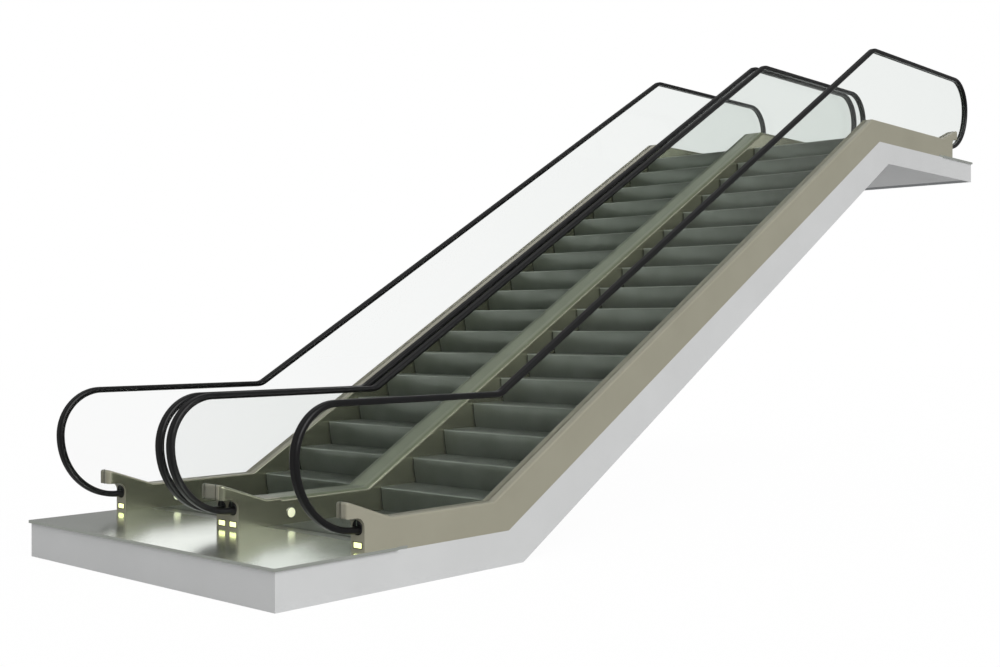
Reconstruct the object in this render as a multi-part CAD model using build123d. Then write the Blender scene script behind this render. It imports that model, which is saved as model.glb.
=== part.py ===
from build123d import *
import os
from math import asin, cos, degrees, radians, sqrt, tan

# Twin escalator: two flights side by side on one closed truss, in millimetres.
# X is across the flights, Y runs up the flights and Z is up.
# The origin lies on the underside of the lower landing, on the middle line.
# Distances along the run are measured from the front of the casing, and save()
# moves every piece so that the front ends up at front_y.
front_y = -1280.0

# Across the flights
half_width = 1641.0
balustrade_width = 147.0
cladding_thickness = 20.0
panel_thickness = 12.0
skirt_thickness = 12.0
skirt_gap = 4.0
glass_thickness = 12.0

# Along the run
lower_apron = 809.0
newel_length = 431.0
lower_flat_run = 1106.0
step_going = 400.0
riser_count = 16
upper_flat_steps = 3
upper_tongue = 961.0
upper_apron = 628.0

# Heights
incline = 30.0
lower_casing_height = 283.0
upper_casing_height = 245.0
plate_thickness = 24.0
first_riser = 213.0
track_depth = 40.0
deck_above_floor = 226.0
deck_above_nosing = 93.5
deck_thickness = 60.0
rail_above_floor = 1108.0
rail_above_nosing = 900.0
foot_below_nosing = 258.0
soffit_below_nosing = 646.0
soffit_thickness = 20.0
upper_seat_length = 270.0

# Steps
step_gap = 6.0
riser_radius = 780.0

# Floor and comb plates
plate_side_lip = 15.0
plate_end_lip = 18.0
lip_short_of_newel_end = 110.0
comb_depth = 160.0
comb_gap = 1.0

# Deck caps
outer_deck_shoulder = 17.0
centre_deck_shoulder = 37.0

# Newel bases
nose_reach = 169.0
nose_above_rail = 99.0
nose_height = 128.0
nose_slope_end = 150.0
nose_throat_radius = 75.0
nose_edge_radius = 12.0
nose_plan_radius = 50.0
nose_outer_radius = 22.0
newel_top_radius = 20.0

# Handrails
rail_width = 80.0
rail_thickness = 50.0
rail_corner_radius = 22.0
rail_reach = 608.0
rail_top_radius = 400.0
rail_tail_above_floor = 131.0
rail_bend_radius = 180.0
rail_tail = 60.0
rail_clearance = 3.0
glass_edge_gap = 0.3

# Handrail inlets
inlet_width = 100.0
inlet_height = 115.0
inlet_corner_radius = 49.0
inlet_proud = 12.0
inlet_depth = 40.0
inlet_above_rail = 18.0
inlet_gap = 0.3

# Lamps
newel_lamp_width = 97.0
newel_lamp_height = 50.0
newel_lamp_depth = 20.0
newel_lamp_proud = 2.0
newel_lamp_above_floor = 44.0
newel_lamp_gap = 0.5
skirt_lamp_diameter = 90.0
skirt_lamp_thickness = 10.0
skirt_lamp_above_floor = 92.0
skirt_lamp_past_newel = 99.0

# Places along the run, from the front of the casing
slope = tan(radians(incline))
newel_front = lower_apron
newel_end = newel_front + newel_length
first_nosing = newel_end + lower_flat_run
last_nosing = first_nosing + riser_count * step_going
upper_comb = last_nosing + upper_flat_steps * step_going
upper_newel_end = upper_comb + upper_tongue
upper_newel_front = upper_newel_end + newel_length
casing_end = upper_newel_front + upper_apron
nose_front = newel_front - nose_reach

# Levels
step_rise = step_going * slope
lower_casing_top = lower_casing_height
lower_floor = lower_casing_top + plate_thickness
first_nosing_z = lower_floor + first_riser
upper_floor = first_nosing_z + riser_count * step_rise
upper_casing_top = upper_floor - plate_thickness
upper_underside = upper_casing_top - upper_casing_height
rise = upper_floor - lower_floor
rail_axis_z = lower_floor + rail_above_floor - rail_top_radius
rail_entry_z = lower_floor + rail_tail_above_floor + rail_thickness / 2
nose_underside_z = rail_entry_z + nose_above_rail
nose_top_z = nose_underside_z + nose_height

# Handrail loop below its axis, where it turns back under to the inlet
rail_under_radius = rail_above_floor - rail_top_radius - rail_tail_above_floor

# Places across the flights
inner_half = half_width - cladding_thickness
skirt_outer_x = half_width - balustrade_width
skirt_inner_x = balustrade_width
outer_glass_x = half_width - balustrade_width / 2
inner_glass_x = balustrade_width / 2


class RunLine:
    """A line along the run: level, then parallel to the nosings, then level."""

    def __init__(self, low, high, above_nosing):
        self.low = low
        self.high = high
        self.above_nosing = above_nosing

    def bend(self, level):
        """Distance along the run where the sloping stretch passes a level."""
        return first_nosing + (level - self.above_nosing - first_nosing_z) / slope

    def height(self, y):
        """Height of the line at a distance along the run."""
        sloping = first_nosing_z + (y - first_nosing) * slope + self.above_nosing
        return min(max(sloping, self.low), self.high)

    def points(self, start, end):
        """Corner points of the line between two distances along the run."""
        bends = [self.bend(self.low), self.bend(self.high)]
        places = [start] + [y for y in bends if start < y < end] + [end]
        return [(y, self.height(y)) for y in places]

    def lowered(self, depth):
        """The parallel line that lies a square distance below this one."""
        sloping = self.above_nosing - depth / cos(radians(incline))
        return RunLine(self.low - depth, self.high - depth, sloping)


deck_top = RunLine(lower_floor + deck_above_floor, upper_floor + deck_above_floor, deck_above_nosing)
deck_underside = deck_top.lowered(deck_thickness)
panel_foot = RunLine(lower_casing_top, upper_casing_top, -foot_below_nosing)
track = RunLine(
    lower_casing_top - track_depth, upper_casing_top - track_depth, -foot_below_nosing - track_depth
)
soffit = RunLine(0.0, upper_underside, -soffit_below_nosing)
soffit_rise = soffit_thickness / cos(radians(incline))
truss_underside = RunLine(0.0, upper_underside + soffit_thickness, soffit_rise - soffit_below_nosing)
rail_top = RunLine(lower_floor + rail_above_floor, upper_floor + rail_above_floor, rail_above_nosing)


def save(name, *solids):
    """Write one node, moved so that the front of the casing is at front_y."""
    placed = [Pos(0, front_y, 0) * solid for solid in solids]
    shape = placed[0] if len(placed) == 1 else Compound(children=placed)
    export_step(shape, f"parts/{name}.step")


def prism(outline, x0, x1):
    """Closed outline of (y, z) points or a face, from x0 to x1 across the run."""
    face = outline if isinstance(outline, Sketch) else make_face(Polyline(*outline, close=True))
    return Pos(x0, 0, 0) * extrude(Plane.YZ * face, x1 - x0)


def slab(x0, x1, y0, y1, z0, z1):
    """Plain rectangular piece between two corners."""
    corner = (Align.MIN, Align.MIN, Align.MIN)
    return Pos(x0, y0, z0) * Box(x1 - x0, y1 - y0, z1 - z0, align=corner)


def at_upper_end(solid):
    """The same piece turned to face the other way at the upper landing."""
    return Pos(0, newel_front + upper_newel_front, rise) * mirror(solid, about=Plane.XZ)


def rounded(face, corners, radius):
    """A flat face with the corners nearest to the given points rounded."""
    picked = [face.vertices().sort_by_distance(Vector(*corner))[0] for corner in corners]
    return fillet(picked, radius)


def truss():
    """Closed machine housing in three stretches that meet at the bends."""
    low_bend_top = (track.bend(track.low), track.low)
    low_bend_foot = (truss_underside.bend(truss_underside.low), truss_underside.low)
    high_bend_top = (track.bend(track.high), track.high)
    high_bend_foot = (truss_underside.bend(truss_underside.high), truss_underside.high)
    lower = [
        (cladding_thickness, 0.0),
        low_bend_foot,
        low_bend_top,
        (newel_end, track.low),
        (newel_end, lower_casing_top),
        (cladding_thickness, lower_casing_top),
    ]
    save("truss_lower", prism(lower, -inner_half, inner_half))
    sloping = [low_bend_foot, high_bend_foot, high_bend_top, low_bend_top]
    save("truss_incline", prism(sloping, -inner_half, inner_half))
    seat_start = casing_end - cladding_thickness - upper_seat_length
    upper = [
        high_bend_foot,
        (seat_start, truss_underside.high),
        (seat_start, upper_underside),
        (casing_end - cladding_thickness, upper_underside),
        (casing_end - cladding_thickness, upper_casing_top),
        (upper_comb, upper_casing_top),
        (upper_comb, track.high),
        high_bend_top,
    ]
    save("truss_upper", prism(upper, -inner_half, inner_half))


def cladding():
    """Painted side, end and underside panels of the casing."""
    outline = soffit.points(0.0, casing_end) + panel_foot.points(0.0, casing_end)[::-1]
    save("cladding_left", prism(outline, -half_width, -inner_half))
    save("cladding_right", prism(outline, inner_half, half_width))
    front = slab(-inner_half, inner_half, 0.0, cladding_thickness, 0.0, lower_casing_top)
    save("cladding_front", front)
    rear_start = casing_end - cladding_thickness
    rear = slab(-inner_half, inner_half, rear_start, casing_end, upper_underside, upper_casing_top)
    save("cladding_rear", rear)
    low_bend = soffit.bend(soffit.low)
    high_bend = soffit.bend(soffit.high)
    low_inner = truss_underside.bend(truss_underside.low)
    high_inner = truss_underside.bend(truss_underside.high)
    sloping = [
        (low_inner, soffit.low),
        (low_bend, soffit.low),
        (high_bend, soffit.high),
        (high_inner, truss_underside.high),
    ]
    save("soffit_incline", prism(sloping, -inner_half, inner_half))
    seat_start = rear_start - upper_seat_length
    level = [
        (high_bend, soffit.high),
        (seat_start, soffit.high),
        (seat_start, truss_underside.high),
        (high_inner, truss_underside.high),
    ]
    save("soffit_upper", prism(level, -inner_half, inner_half))


def floor_plates():
    """Floor plates of the landings, each with its two inset comb plates."""
    edge = half_width + plate_side_lip
    lip_end = newel_end - lip_short_of_newel_end
    lower = slab(-edge, edge, -plate_end_lip, lip_end, lower_casing_top, lower_floor)
    lower += slab(-half_width, half_width, lip_end, newel_end, lower_casing_top, lower_floor)
    comb_start = newel_end - comb_depth
    for side in (-1, 1):
        near, far = sorted((side * skirt_inner_x, side * skirt_outer_x))
        lower -= slab(near, far, comb_start, newel_end, lower_casing_top, lower_floor)
    save("floor_plate_lower", lower)
    lip_start = upper_newel_end + lip_short_of_newel_end
    plate_end = casing_end + plate_end_lip
    upper = slab(-edge, edge, lip_start, plate_end, upper_casing_top, upper_floor)
    upper += slab(-half_width, half_width, upper_newel_end, lip_start, upper_casing_top, upper_floor)
    comb_end = upper_comb + comb_depth
    lower_combs = []
    upper_combs = []
    for side in (-1, 1):
        near, far = sorted((side * (skirt_inner_x + comb_gap), side * (skirt_outer_x - comb_gap)))
        upper += slab(near, far, comb_end, upper_newel_end, upper_casing_top, upper_floor)
        lower_combs.append(slab(near, far, comb_start, newel_end, lower_casing_top, lower_floor))
        upper_combs.append(slab(near, far, upper_comb, comb_end, upper_casing_top, upper_floor))
    save("floor_plate_upper", upper)
    save("comb_plates_lower", *lower_combs)
    save("comb_plates_upper", *upper_combs)


def riser_setback(depth):
    """How far the convex riser has curved back at a depth below its nosing."""
    return riser_radius - sqrt(riser_radius**2 - depth**2)


def level_step(start, end, top):
    """Outline of a step between two level neighbours."""
    return track.points(start, end) + [(end, top), (start, top)]


def rising_step(nosing, top, end):
    """Outline of a step whose riser shows, from its nosing to its rear edge."""
    foot = nosing
    for _ in range(20):
        foot = nosing + riser_setback(top - track.height(foot))
    middle_depth = (top - track.height(foot)) / 2
    middle = (nosing + riser_setback(middle_depth), top - middle_depth)
    under = Polyline(*track.points(foot, end), (end, top), (nosing, top))
    riser = ThreePointArc((nosing, top), middle, (foot, track.height(foot)))
    return Sketch() + make_face(under + riser)


def steps(name, x0, x1):
    """All the steps of one flight, each a separate solid."""
    foot_setback = riser_setback(step_rise)
    outlines = []
    start = newel_end
    next_start = first_nosing - 2 * step_going
    while next_start < first_nosing:
        outlines.append(level_step(start, next_start - step_gap, lower_floor))
        start = next_start
        next_start += step_going
    first_foot = first_nosing + riser_setback(first_riser)
    outlines.append(level_step(start, first_foot - step_gap, lower_floor))
    for number in range(riser_count):
        nosing = first_nosing + number * step_going
        top = first_nosing_z + number * step_rise
        end = nosing + step_going + foot_setback - step_gap
        outlines.append(rising_step(nosing, top, end))
    outlines.append(rising_step(last_nosing, upper_floor, last_nosing + step_going - step_gap))
    for number in range(1, upper_flat_steps):
        start = last_nosing + number * step_going
        outlines.append(level_step(start, start + step_going - step_gap, upper_floor))
    save(name, *[prism(outline, x0, x1) for outline in outlines])


def skirts():
    """Skirt panels beside the steps, from the track up to the deck caps."""
    top = deck_underside.points(newel_end, upper_newel_end)[::-1]
    foot = track.points(newel_end, upper_comb)
    foot += [(upper_comb, upper_casing_top), (upper_newel_end, upper_casing_top)]
    outline = foot + top
    save("skirt_left_outer", prism(outline, -skirt_outer_x - skirt_thickness, -skirt_outer_x))
    save("skirt_left_inner", prism(outline, -skirt_inner_x, -skirt_inner_x + skirt_thickness))
    save("skirt_right_inner", prism(outline, skirt_inner_x - skirt_thickness, skirt_inner_x))
    save("skirt_right_outer", prism(outline, skirt_outer_x, skirt_outer_x + skirt_thickness))


def deck(name, x0, x1, shoulder):
    """Deck cap with rounded long edges, along the whole balustrade."""
    top = deck_top.points(newel_end, upper_newel_end)
    outline = top + deck_underside.points(newel_end, upper_newel_end)[::-1]
    cap = prism(outline, x0, x1)
    edges = [
        edge
        for edge in cap.edges()
        if abs(edge.center().Z - deck_top.height(edge.center().Y)) < 1 and abs(edge.tangent_at(0.5).X) < 0.5
    ]
    save(name, fillet(edges, shoulder))


def decks_and_panels():
    """Deck caps, and the outer balustrade panels that carry them."""
    deck("deck_left", -half_width, -skirt_outer_x, outer_deck_shoulder)
    deck("deck_centre", -skirt_inner_x, skirt_inner_x, centre_deck_shoulder)
    deck("deck_right", skirt_outer_x, half_width, outer_deck_shoulder)
    outline = panel_foot.points(newel_end, upper_newel_end)
    outline += deck_underside.points(newel_end, upper_newel_end)[::-1]
    save("base_panel_left", prism(outline, -half_width, panel_thickness - half_width))
    save("base_panel_right", prism(outline, half_width - panel_thickness, half_width))


def newel_profile():
    """Side outline of a lower newel base, with its nose and hollow throat."""
    points = [
        (newel_front, lower_floor),
        (newel_front, nose_underside_z),
        (nose_front, nose_underside_z),
        (nose_front, nose_top_z),
        (newel_end - nose_slope_end, deck_top.low),
        (newel_end, deck_top.low),
        (newel_end, lower_floor),
    ]
    face = Sketch() + make_face(Polyline(*points, close=True))
    face = rounded(face, [(newel_front, nose_underside_z)], nose_throat_radius)
    return rounded(face, [(nose_front, nose_underside_z)], nose_edge_radius)


def inlet_outline(x, grow):
    """Oval of a handrail inlet, drawn on the front plate of its newel base."""
    middle_z = rail_entry_z + inlet_above_rail
    plane = Plane(origin=(x, newel_front, middle_z), z_dir=(0, 1, 0), x_dir=(-1, 0, 0))
    oval = RectangleRounded(inlet_width + 2 * grow, inlet_height + 2 * grow, inlet_corner_radius + grow)
    return plane, oval


def rail_section(grow):
    """Cross-section of the handrail, grown by a clearance."""
    width = rail_width + 2 * grow
    thickness = rail_thickness + 2 * grow
    return RectangleRounded(width, thickness, rail_corner_radius + grow)


def rail_hole(x, depth):
    """Room for the end of the handrail behind the front plate."""
    plane = Plane(origin=(x, newel_front - inlet_proud, rail_entry_z), z_dir=(0, 1, 0), x_dir=(-1, 0, 0))
    return extrude(plane * rail_section(rail_clearance), inlet_proud + depth)


def inlet(x):
    """Rubber inlet that the handrail runs into."""
    plane, oval = inlet_outline(x, 0.0)
    body = extrude(plane.offset(-inlet_proud) * oval, inlet_proud + inlet_depth)
    return body - rail_hole(x, inlet_depth)


def newel_lamp(x, gap):
    """Flat lamp let into the front plate, or its pocket with a gap around it."""
    half = newel_lamp_width / 2 + gap
    middle = lower_floor + newel_lamp_above_floor
    half_height = newel_lamp_height / 2 + gap
    start = newel_front - newel_lamp_proud
    end = newel_front - newel_lamp_proud + newel_lamp_depth
    return slab(x - half, x + half, start, end, middle - half_height, middle + half_height)


def newel_base(x0, x1, rail_places):
    """Lower newel base between two planes, with pockets for its inlets and lamps."""
    plan = Sketch() + make_face(
        Polyline((x0, nose_front), (x1, nose_front), (x1, newel_end), (x0, newel_end), close=True)
    )
    for x in (x0, x1):
        radius = nose_outer_radius if abs(x) == half_width else nose_plan_radius
        plan = rounded(plan, [(x, nose_front)], radius)
    base = prism(newel_profile(), x0, x1) & extrude(plan, nose_top_z)
    tops = [face for face in base.faces() if face.normal_at().Z > 0.5]
    rims = [
        edge
        for top in tops
        for edge in top.edges()
        if edge.center().Y < nose_front + nose_plan_radius or abs(edge.tangent_at(0.5).X) < 0.5
    ]
    base = fillet(rims, newel_top_radius)
    for x in rail_places:
        plane, oval = inlet_outline(x, inlet_gap)
        base -= extrude(plane.offset(-nose_throat_radius) * oval, nose_throat_radius + inlet_depth)
        base -= rail_hole(x, rail_tail + rail_clearance)
        base -= newel_lamp(x, newel_lamp_gap)
    return base


def newels():
    """Newel bases with their handrail inlets and lamps at both landings."""
    places = {
        "left": (-half_width, -skirt_outer_x, [-outer_glass_x]),
        "centre": (-skirt_inner_x, skirt_inner_x, [-inner_glass_x, inner_glass_x]),
        "right": (skirt_outer_x, half_width, [outer_glass_x]),
    }
    inlets = []
    lamps = []
    for side, (x0, x1, rail_places) in places.items():
        base = newel_base(x0, x1, rail_places)
        save(f"newel_base_lower_{side}", base)
        save(f"newel_base_upper_{side}", at_upper_end(base))
        for x in rail_places:
            inlets.append(inlet(x))
            lamps.append(newel_lamp(x, 0.0))
    save("handrail_inlets_lower", *inlets)
    save("handrail_inlets_upper", *[at_upper_end(solid) for solid in inlets])
    save("newel_lamps_lower", *lamps)
    save("newel_lamps_upper", *[at_upper_end(solid) for solid in lamps])


def skirt_lamps():
    """Round lamps on the skirts just past the newel bases."""
    y = newel_end + skirt_lamp_past_newel
    z = lower_floor + skirt_lamp_above_floor
    lamps = []
    for face_x in (-skirt_outer_x, -skirt_inner_x, skirt_inner_x, skirt_outer_x):
        toward_steps = 1 if face_x in (-skirt_outer_x, skirt_inner_x) else -1
        plane = Plane(origin=(face_x, y, z), z_dir=(toward_steps, 0, 0))
        lamps.append(extrude(plane * Circle(skirt_lamp_diameter / 2), skirt_lamp_thickness))
    save("skirt_lamps_lower", *lamps)
    save("skirt_lamps_upper", *[at_upper_end(lamp) for lamp in lamps])


def rail_loop(inset, start_y):
    """Handrail loop in (y, z), that far inside its centre line, from start_y round."""
    high_axis_z = rail_axis_z + rise
    under_y = newel_front - rail_reach + rail_under_radius
    turn_y = newel_front - rail_reach + rail_top_radius
    mirror_y = newel_front + upper_newel_front
    under_radius = rail_under_radius - rail_thickness / 2 - inset
    turn_radius = rail_top_radius - rail_thickness / 2 - inset
    cut = degrees(asin(max(under_y - start_y, 0.0) / under_radius))
    line = rail_top.lowered(rail_thickness / 2 + inset)
    corners = line.points(turn_y, mirror_y - turn_y)
    radii = [rail_bend_radius + inset, rail_bend_radius - inset]
    pieces = [
        CenterArc((under_y, rail_axis_z), under_radius, -90 - cut, cut - 90),
        CenterArc((turn_y, rail_axis_z), turn_radius, 180, -90),
        FilletPolyline(*corners, radius=radii),
        CenterArc((mirror_y - turn_y, high_axis_z), turn_radius, 90, -90),
        CenterArc((mirror_y - under_y, high_axis_z), under_radius, 0, cut - 90),
    ]
    if start_y > under_y:
        low = rail_axis_z - under_radius
        high = high_axis_z - under_radius
        pieces.insert(0, Line((start_y, low), (under_y, low)))
        pieces.append(Line((mirror_y - under_y, high), (mirror_y - start_y, high)))
    return Curve() + pieces


def handrail(name, x):
    """One handrail, swept along its whole visible loop."""
    tail_y = newel_front + rail_tail
    path = Pos(x, 0, 0) * (Plane.YZ * rail_loop(0.0, tail_y))
    start = Plane(origin=path @ 0, z_dir=path % 0, x_dir=(1, 0, 0))
    save(name, sweep(start * rail_section(0.0), path=path))


def glass_pane(name, x):
    """Balustrade glass inside one handrail loop, standing on deck and newels."""
    inset = rail_thickness / 2 + glass_edge_gap
    stop_y = newel_front - inlet_proud - glass_edge_gap
    throat_y = newel_front - nose_throat_radius
    throat_z = nose_underside_z - nose_throat_radius
    throat_turn = degrees(asin((stop_y - throat_y) / nose_throat_radius))
    loop = rail_loop(inset, stop_y)
    low = [
        (throat_y, nose_underside_z),
        (nose_front, nose_underside_z),
        (nose_front, nose_top_z),
        (newel_end - nose_slope_end, deck_top.low),
    ]
    mirror_y = newel_front + upper_newel_front
    high = [(mirror_y - y, z + rise) for y, z in reversed(low)]
    bends = deck_top.points(newel_end, upper_newel_end)[1:-1]
    throats = [
        CenterArc((throat_y, throat_z), nose_throat_radius, 90, -throat_turn),
        CenterArc((mirror_y - throat_y, throat_z + rise), nose_throat_radius, 90, throat_turn),
    ]
    edges = [Line(end, throat @ 1) for end, throat in zip((loop @ 0, loop @ 1), throats)]
    edges += throats + [Polyline(*low, *bends, *high)]
    face = Sketch() + make_face(loop + edges)
    save(name, prism(face, x - glass_thickness / 2, x + glass_thickness / 2))


def main():
    """Write every node of the escalator."""
    os.makedirs("parts", exist_ok=True)
    truss()
    cladding()
    floor_plates()
    steps("steps_left", skirt_gap - skirt_outer_x, -skirt_inner_x - skirt_gap)
    steps("steps_right", skirt_inner_x + skirt_gap, skirt_outer_x - skirt_gap)
    skirts()
    decks_and_panels()
    newels()
    skirt_lamps()
    glass_places = {
        "left_outer": -outer_glass_x,
        "left_inner": -inner_glass_x,
        "right_inner": inner_glass_x,
        "right_outer": outer_glass_x,
    }
    for side, x in glass_places.items():
        glass_pane(f"glass_{side}", x)
        handrail(f"handrail_{side}", x)


main()
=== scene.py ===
"""Visual model of a twin escalator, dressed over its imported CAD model.

Two flights stand side by side on one closed truss. Class fields are in
millimetres in the model's own frame: X across the flights, Y up the run, Z up.
Meshes are made in metres, as Blender shows them.
"""
import logging
import math
from collections.abc import Callable, Sequence
from dataclasses import dataclass
from enum import Enum

import bpy
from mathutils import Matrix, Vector

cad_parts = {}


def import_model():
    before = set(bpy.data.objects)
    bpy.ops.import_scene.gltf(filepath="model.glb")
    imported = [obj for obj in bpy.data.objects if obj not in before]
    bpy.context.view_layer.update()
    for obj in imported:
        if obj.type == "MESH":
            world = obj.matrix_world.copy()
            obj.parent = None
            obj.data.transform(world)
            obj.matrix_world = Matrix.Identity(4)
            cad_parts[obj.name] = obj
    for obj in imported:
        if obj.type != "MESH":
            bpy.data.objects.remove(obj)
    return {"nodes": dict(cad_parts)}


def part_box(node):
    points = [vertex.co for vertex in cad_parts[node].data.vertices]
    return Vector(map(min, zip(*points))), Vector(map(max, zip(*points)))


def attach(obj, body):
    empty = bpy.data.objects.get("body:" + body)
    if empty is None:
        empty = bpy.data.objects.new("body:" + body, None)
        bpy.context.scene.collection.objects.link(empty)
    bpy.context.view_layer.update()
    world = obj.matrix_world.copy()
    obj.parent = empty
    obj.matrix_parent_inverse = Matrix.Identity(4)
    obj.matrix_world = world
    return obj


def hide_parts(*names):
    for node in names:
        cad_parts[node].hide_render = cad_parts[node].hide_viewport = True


LOG = logging.getLogger("escalator")
MM = 0.001

Point = tuple[float, float, float]
Face = tuple[int, ...]
# A station down a step's skin: y, z, outward normal in y and z, and groove depth.
Station = tuple[float, float, float, float, float]


class Side(Enum):
    """The two flights, seen from the lower landing."""

    LEFT = -1
    RIGHT = 1

    def span(self, inner_x: float, outer_x: float) -> tuple[float, float]:
        """Low and high X between two distances from the middle plane, on this side."""
        low, high = sorted((self.value * inner_x, self.value * outer_x))
        return low, high


class Landing(Enum):
    """The two ends of the escalator."""

    LOWER = "lower"
    UPPER = "upper"

    @property
    def inward(self) -> float:
        """Direction along Y from this landing towards the steps."""
        return 1.0 if self is Landing.LOWER else -1.0

    def ends(self, node_name: str) -> tuple[float, float]:
        """Where a CAD node of this landing begins and ends along the run.

        Args:
            node_name: Name of the node.

        Returns:
            Y of its end away from the steps and Y of its end towards them.
        """
        low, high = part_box(node_name)
        away, toward = (low.y, high.y) if self is Landing.LOWER else (high.y, low.y)
        return away / MM, toward / MM


def linear(srgb_hex: str) -> tuple[float, float, float, float]:
    """Turn an sRGB hex colour into Blender's linear colour.

    Args:
        srgb_hex: Colour as six hex digits, such as "8E8C7E".

    Returns:
        Linear red, green and blue, with an alpha of 1.
    """
    values = [int(srgb_hex[start : start + 2], 16) / 255 for start in (0, 2, 4)]
    red, green, blue = (v / 12.92 if v <= 0.04045 else ((v + 0.055) / 1.055) ** 2.4 for v in values)
    return (red, green, blue, 1.0)


WHITE = linear("FFFFFF")


def add_node(
    tree: bpy.types.NodeTree,
    kind: str,
    settings: dict[str, object] | None = None,
    sockets: dict[str | int, object] | None = None,
) -> bpy.types.Node:
    """Add one node to a tree with its settings, values and links.

    Args:
        tree: Node tree that takes the node.
        kind: Blender's name for the kind of node.
        settings: Properties of the node itself.
        sockets: Inputs by name or number, each a plain value or another node's output.

    Returns:
        The new node.
    """
    node = tree.nodes.new(kind)
    for name, value in (settings or {}).items():
        setattr(node, name, value)
    for name, value in (sockets or {}).items():
        if isinstance(value, bpy.types.NodeSocket):
            tree.links.new(value, node.inputs[name])
        else:
            node.inputs[name].default_value = value
    return node


@dataclass(frozen=True)
class Finish:
    """A surface finish: what the material is and how its surface was made.

    The finish drifts between its colour and its shade over mottle_mm. Its grain has the sizes of
    grain_mm along X, Y and Z, stands out by grain_depth_mm, and shifts the roughness by its spread.
    Detail and crumble say how many finer layers the drift and the grain have, and how strong they are.
    """

    name: str
    colour: str
    shade: str
    blend: tuple[float, float] = (0.3, 0.7)
    metallic: float = 0.0
    roughness: float = 0.5
    roughness_spread: float = 0.05
    mottle_mm: float = 400.0
    mottle_detail: float = 4.0
    mottle_crumble: float = 0.55
    grain_mm: Point = (2.0, 2.0, 2.0)
    grain_detail: float = 3.0
    grain_crumble: float = 0.6
    grain_depth_mm: float = 0.0
    ior: float = 1.5

    def coordinates(self, tree: bpy.types.NodeTree, size_mm: Point) -> bpy.types.NodeSocket:
        """Object coordinates scaled so that one unit is the given size.

        Args:
            tree: Node tree of the material.
            size_mm: Real length of one unit along each axis.

        Returns:
            Vector output for a texture.
        """
        place = add_node(tree, "ShaderNodeTexCoord")
        scale = tuple(1.0 / (size * MM) for size in size_mm)
        return add_node(
            tree, "ShaderNodeMapping", sockets={"Vector": place.outputs["Object"], "Scale": scale}
        ).outputs["Vector"]

    def mottling(self, tree: bpy.types.NodeTree) -> bpy.types.NodeSocket:
        """Slow, soft variation over the surface.

        Args:
            tree: Node tree of the material.

        Returns:
            Output from 0 to 1.
        """
        return add_node(
            tree,
            "ShaderNodeTexNoise",
            sockets={
                "Vector": self.coordinates(tree, (self.mottle_mm,) * 3),
                "Scale": 1.0,
                "Detail": self.mottle_detail,
                "Roughness": self.mottle_crumble,
            },
        ).outputs["Fac"]

    def grain(self, tree: bpy.types.NodeTree) -> bpy.types.NodeSocket:
        """Fine surface grain, stretched as the process leaves it.

        Args:
            tree: Node tree of the material.

        Returns:
            Output from 0 to 1.
        """
        return add_node(
            tree,
            "ShaderNodeTexNoise",
            sockets={
                "Vector": self.coordinates(tree, self.grain_mm),
                "Scale": 1.0,
                "Detail": self.grain_detail,
                "Roughness": self.grain_crumble,
            },
        ).outputs["Fac"]

    def colouring(self, tree: bpy.types.NodeTree, along: bpy.types.NodeSocket) -> bpy.types.NodeSocket:
        """Blend from the shade to the colour of the finish.

        Args:
            tree: Node tree of the material.
            along: Variation from 0 to 1 that the blend follows.

        Returns:
            Colour output.
        """
        ramp = add_node(tree, "ShaderNodeValToRGB", sockets={"Fac": along})
        for number, (position, colour) in enumerate(zip(self.blend, (self.shade, self.colour))):
            ramp.color_ramp.elements[number].position = position
            ramp.color_ramp.elements[number].color = linear(colour)
        return ramp.outputs["Color"]

    def shader(self, tree: bpy.types.NodeTree) -> bpy.types.Node:
        """The surface shader with its colour, roughness and grain.

        Args:
            tree: Node tree of the material.

        Returns:
            The shader node.
        """
        mottling = self.mottling(tree)
        grain = self.grain(tree)
        spread = add_node(
            tree,
            "ShaderNodeMapRange",
            sockets={
                "Value": grain,
                "To Min": self.roughness - self.roughness_spread,
                "To Max": self.roughness + self.roughness_spread,
            },
        )
        sockets: dict[str | int, object] = {
            "Base Color": self.colouring(tree, mottling),
            "Roughness": spread.outputs["Result"],
            "Metallic": self.metallic,
            "IOR": self.ior,
        }
        if self.grain_depth_mm > 0.0:
            bump = add_node(
                tree,
                "ShaderNodeBump",
                sockets={"Height": grain, "Distance": self.grain_depth_mm * MM, "Strength": 1.0},
            )
            sockets["Normal"] = bump.outputs["Normal"]
        return add_node(tree, "ShaderNodeBsdfPrincipled", sockets=sockets)

    def material(self) -> bpy.types.Material:
        """The Blender material of this finish, made once.

        Returns:
            The material.
        """
        made = bpy.data.materials.get(self.name)
        if made is not None:
            return made
        made = bpy.data.materials.new(self.name)
        made.use_nodes = True
        made.node_tree.nodes.clear()
        surface = self.shader(made.node_tree)
        add_node(made.node_tree, "ShaderNodeOutputMaterial", sockets={"Surface": surface.outputs["BSDF"]})
        return made


@dataclass(frozen=True)
class TintedGlass(Finish):
    """Toughened float glass: its shade is what a short path through it shows, its colour a long one."""

    reflection: str = "FFFFFF"
    drift: float = 0.05

    def shader(self, tree: bpy.types.NodeTree) -> bpy.types.Node:
        """A clear body whose tint deepens where the path through it is longer, with a slow drift.

        Args:
            tree: Node tree of the material.

        Returns:
            The shader node.
        """
        facing = add_node(tree, "ShaderNodeLayerWeight", sockets={"Blend": 0.5}).outputs["Facing"]
        path_length = add_node(
            tree,
            "ShaderNodeMath",
            settings={"operation": "MULTIPLY_ADD"},
            sockets={0: self.mottling(tree), 1: self.drift, 2: facing},
        )
        return add_node(
            tree,
            "ShaderNodeBsdfPrincipled",
            sockets={
                "Base Color": self.colouring(tree, path_length.outputs[0]),
                "Roughness": self.roughness,
                "IOR": self.ior,
                "Transmission Weight": 1.0,
                "Specular Tint": linear(self.reflection),
            },
        )


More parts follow.
